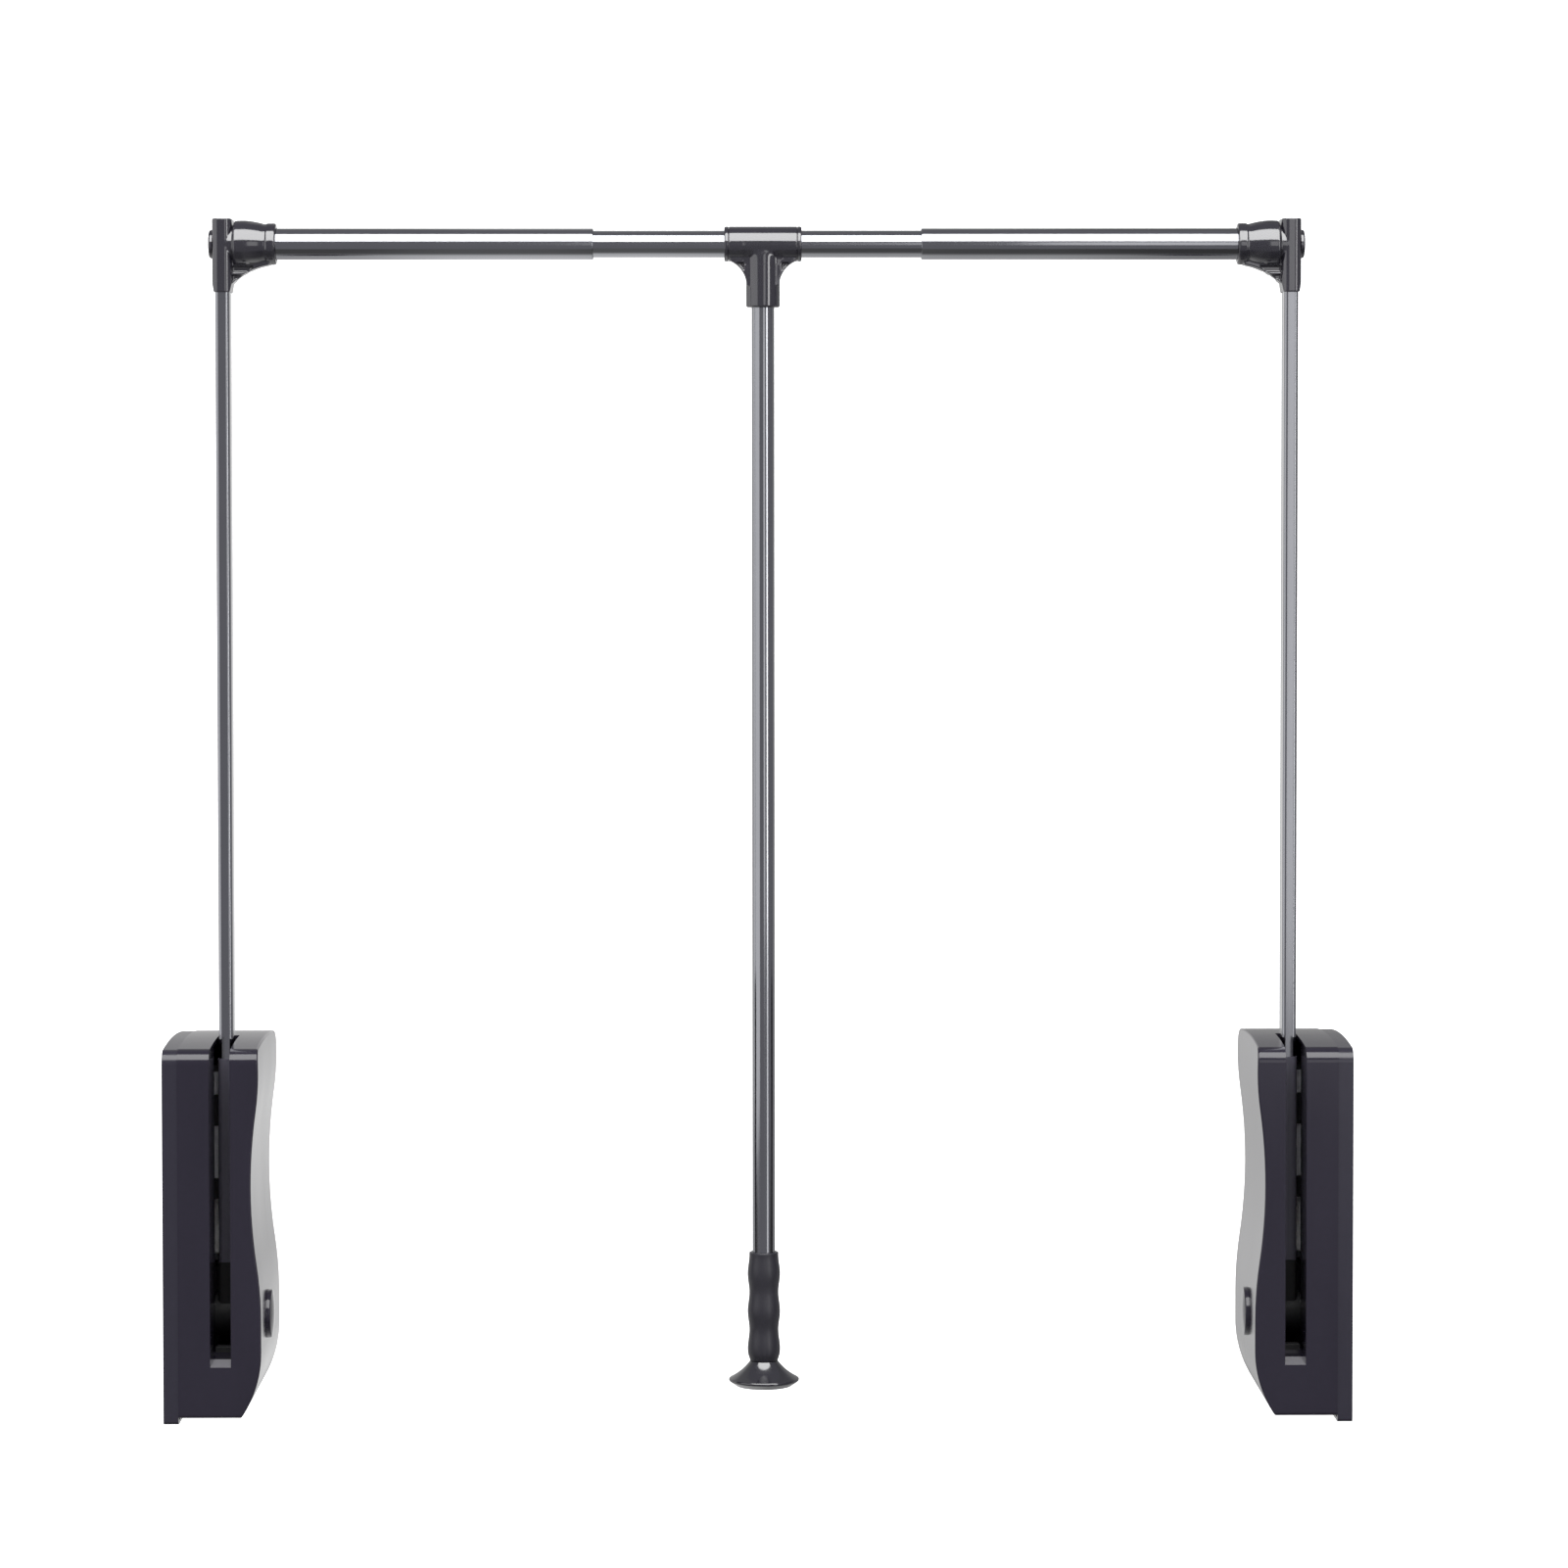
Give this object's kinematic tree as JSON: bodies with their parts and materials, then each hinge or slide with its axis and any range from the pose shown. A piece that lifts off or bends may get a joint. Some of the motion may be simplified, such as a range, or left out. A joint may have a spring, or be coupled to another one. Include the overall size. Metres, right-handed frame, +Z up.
{
  "type": "pull-down closet rod",
  "caption": "Wardrobe lift: a telescopic hanging rail on two strut-assisted swinging arms, pulled down by a central rod with a grip.",
  "frame": {"origin": "middle of the bounding box in X and Y, at the bottom of the wall plates", "axes": "+X along the rail from the left wall unit to the right one, -Y towards the person who pulls the rail down, +Z up along the arms"},
  "size_m": [0.83, 0.135, 0.844],
  "materials": {
    "casing_plastic": "black moulded plastic with a smooth satin-gloss surface",
    "connector_plastic": "black moulded plastic, glossy",
    "grip_rubber": "dark grey soft grip",
    "buffer_rubber": "black rubber",
    "tube_chrome": "polished chromium plate on steel tube",
    "strut_steel": "zinc-plated drawn steel cylinder",
    "zinc_steel": "zinc-plated steel",
    "pin_steel": "ground and polished steel",
    "gear_steel": "sintered steel, lightly greased",
    "lever_zinc": "black powder-coated zinc casting",
    "bush_plastic": "natural acetal",
    "guide_plastic": "black moulded nylon"
  },
  "bodies": {
    "wall_unit_left": {"left_wall_plate": "casing_plastic", "left_casing": "casing_plastic", "left_case_screws": "zinc_steel", "left_pivot_pin": "pin_steel", "left_pivot_cap": "casing_plastic", "left_rack_guide": "guide_plastic", "left_strut_cylinder": "strut_steel", "left_strut_guide": "guide_plastic", "left_strut_holder": "guide_plastic", "left_arm_stop": "buffer_rubber", "left_lower_buffer": "buffer_rubber"},
    "left_frame": {"left_lever": "lever_zinc", "left_lever_bushes": "bush_plastic", "left_pinion": "gear_steel", "left_pinion_dowels": "pin_steel", "left_arm": "tube_chrome", "left_arm_cover": "casing_plastic", "left_arm_rivets": "zinc_steel", "left_corner_connector": "connector_plastic", "left_corner_bolt": "zinc_steel", "left_corner_cap": "connector_plastic", "left_tube_plug": "zinc_steel", "left_outer_tube": "tube_chrome"},
    "left_rack_unit": {"left_rack": "gear_steel", "left_strut_rod": "pin_steel"},
    "wall_unit_right": {"right_wall_plate": "casing_plastic", "right_casing": "casing_plastic", "right_case_screws": "zinc_steel", "right_pivot_pin": "pin_steel", "right_pivot_cap": "casing_plastic", "right_rack_guide": "guide_plastic", "right_strut_cylinder": "strut_steel", "right_strut_guide": "guide_plastic", "right_strut_holder": "guide_plastic", "right_arm_stop": "buffer_rubber", "right_lower_buffer": "buffer_rubber"},
    "right_frame": {"right_lever": "lever_zinc", "right_lever_bushes": "bush_plastic", "right_pinion": "gear_steel", "right_pinion_dowels": "pin_steel", "right_arm": "tube_chrome", "right_arm_cover": "casing_plastic", "right_arm_rivets": "zinc_steel", "right_corner_connector": "connector_plastic", "right_corner_bolt": "zinc_steel", "right_corner_cap": "connector_plastic", "right_tube_plug": "zinc_steel", "right_outer_tube": "tube_chrome"},
    "right_rack_unit": {"right_rack": "gear_steel", "right_strut_rod": "pin_steel"},
    "rail_centre": {"inner_tube": "tube_chrome", "left_rail_glide": "bush_plastic", "right_rail_glide": "bush_plastic"},
    "pull_handle": {"tee_connector": "connector_plastic", "tee_bushes": "connector_plastic", "tee_stop_screw": "zinc_steel", "pull_rod": "tube_chrome", "pull_rod_screw": "zinc_steel", "grip": "grip_rubber", "grip_foot": "connector_plastic"}
  },
  "joints": [
    {"name": "left_swing", "type": "hinge", "parent": "wall_unit_left", "child": "left_frame", "pos_m": [-0.375, -0.0125, 0.069], "axis": [1, 0, 0], "range_deg": [0, 100], "stiffness_Nm_per_rad": 20, "springref_deg": -14.32},
    {"name": "left_rack_slide", "type": "slide", "parent": "wall_unit_left", "child": "left_rack_unit", "axis": [0, 0, 1], "range_m": [0, 0.028]},
    {"name": "width_setting", "type": "slide", "parent": "wall_unit_left", "child": "wall_unit_right", "axis": [-1, 0, 0], "range_m": [0, 0.174]},
    {"name": "right_swing", "type": "hinge", "parent": "wall_unit_right", "child": "right_frame", "pos_m": [0.375, -0.0125, 0.069], "axis": [1, 0, 0], "range_deg": [0, 100]},
    {"name": "right_rack_slide", "type": "slide", "parent": "wall_unit_right", "child": "right_rack_unit", "axis": [0, 0, 1], "range_m": [0, 0.028]},
    {"name": "rail_telescope", "type": "slide", "parent": "left_frame", "child": "rail_centre", "axis": [-1, 0, 0], "range_m": [0, 0.0912]},
    {"name": "pull_rod_swing", "type": "hinge", "parent": "rail_centre", "child": "pull_handle", "pos_m": [0.004, -0.0125, 0.824], "axis": [-1, 0, 0], "range_deg": [-30, 110]}
  ],
  "couplings": [
    {"joint": "right_swing", "follows": "left_swing", "ratio": 1},
    {"joint": "left_rack_slide", "follows": "left_swing", "m_per_rad": 0.016},
    {"joint": "right_rack_slide", "follows": "left_swing", "m_per_rad": 0.016},
    {"joint": "rail_telescope", "follows": "width_setting", "ratio": 0.523}
  ]
}
